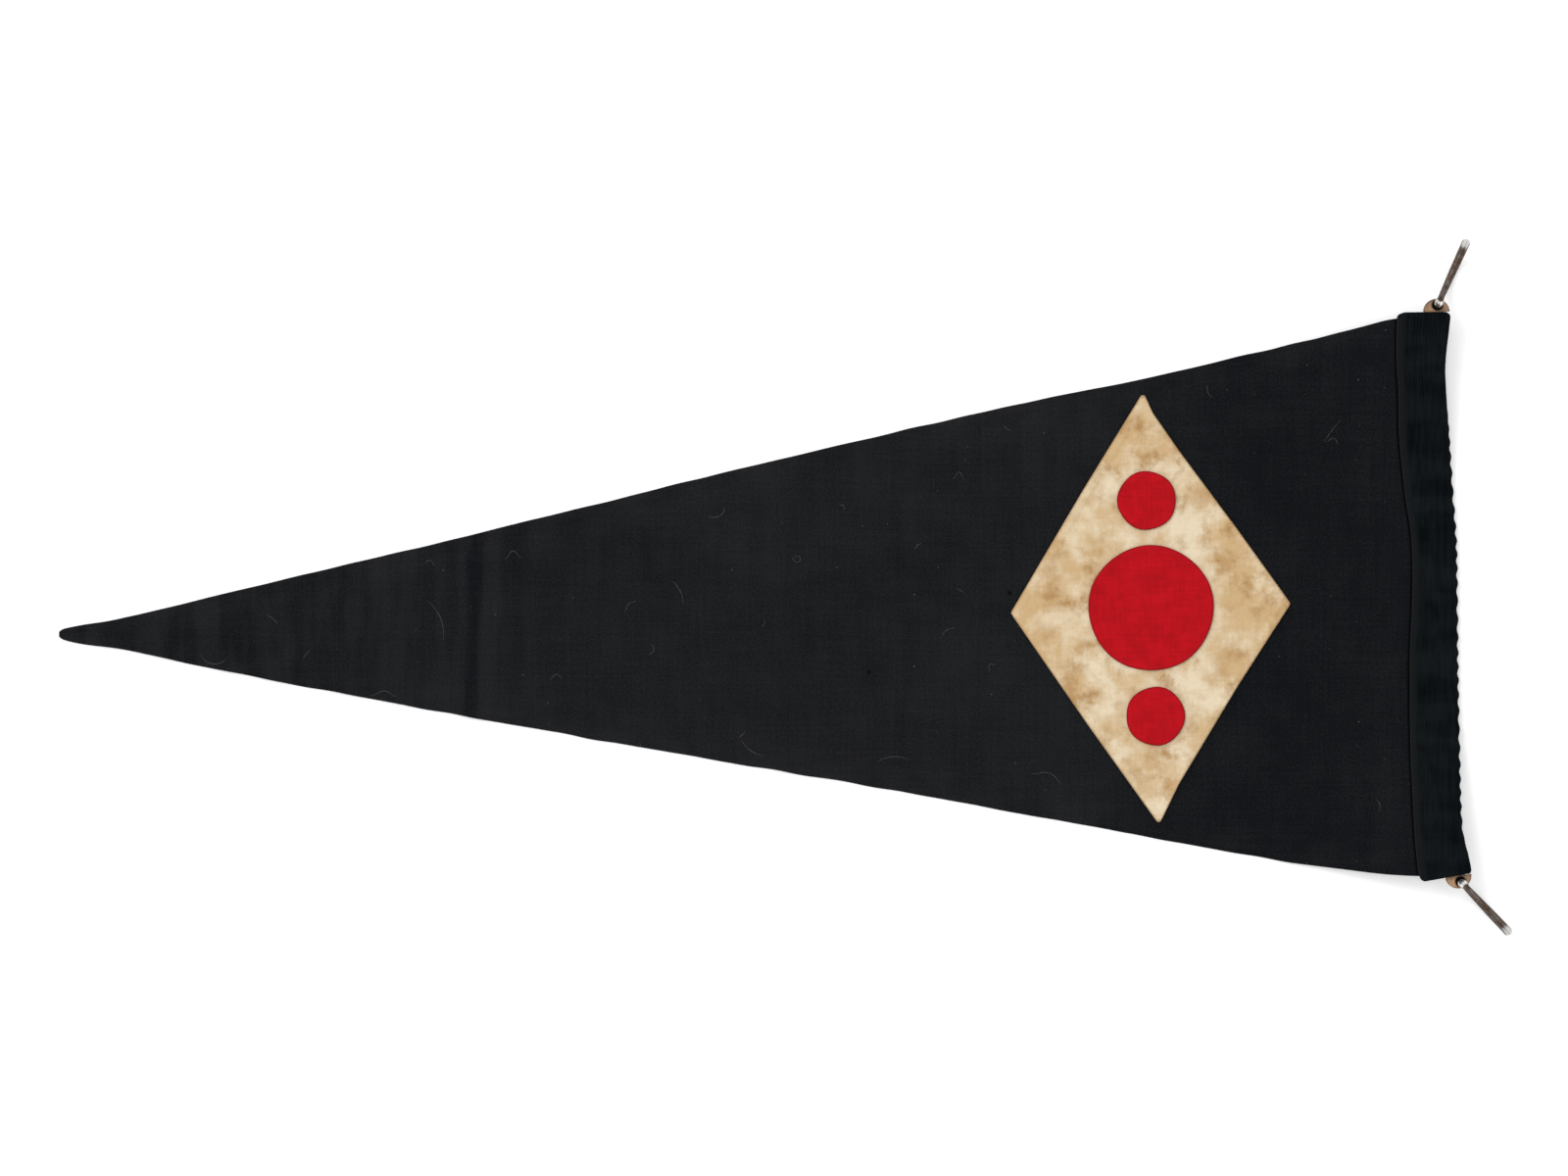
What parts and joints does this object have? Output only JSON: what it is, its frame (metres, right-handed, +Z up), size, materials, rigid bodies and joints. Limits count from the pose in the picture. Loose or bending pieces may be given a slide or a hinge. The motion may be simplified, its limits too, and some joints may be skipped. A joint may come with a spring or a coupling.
{
  "type": "pennant flag",
  "caption": "Long triangular cotton pennant with a folded tape heading, a plain diamond patch with round spots, and leather tabs that hold steel rings.",
  "frame": {"origin": "on the resting surface, under the middle of the whole flag", "axes": "+X from the pointed tip towards the hoist, +Y along the hoist towards its upper ring, +Z up out of the flag's face"},
  "size_m": [0.7402, 0.3553, 0.04],
  "materials": {
    "black_cotton": "matt plain weave, faded black",
    "ribbed_tape": "matt ribbed tape, blue-green black",
    "cream_cotton": "matt plain weave, stained cream",
    "red_cotton": "matt plain weave, red",
    "tan_leather": "dry tan leather with darker edges",
    "worn_steel": "tarnished, with brown patches"
  },
  "bodies": {
    "root": {"pennant_cloth": "black_cotton", "heading_tape": "ribbed_tape", "patch_cream": "cream_cotton", "spot_upper": "red_cotton", "spot_middle": "red_cotton", "spot_lower": "red_cotton", "tab_upper": "tan_leather", "tab_lower": "tan_leather", "ring_upper": "worn_steel", "ring_lower": "worn_steel"}
  },
  "joints": []
}
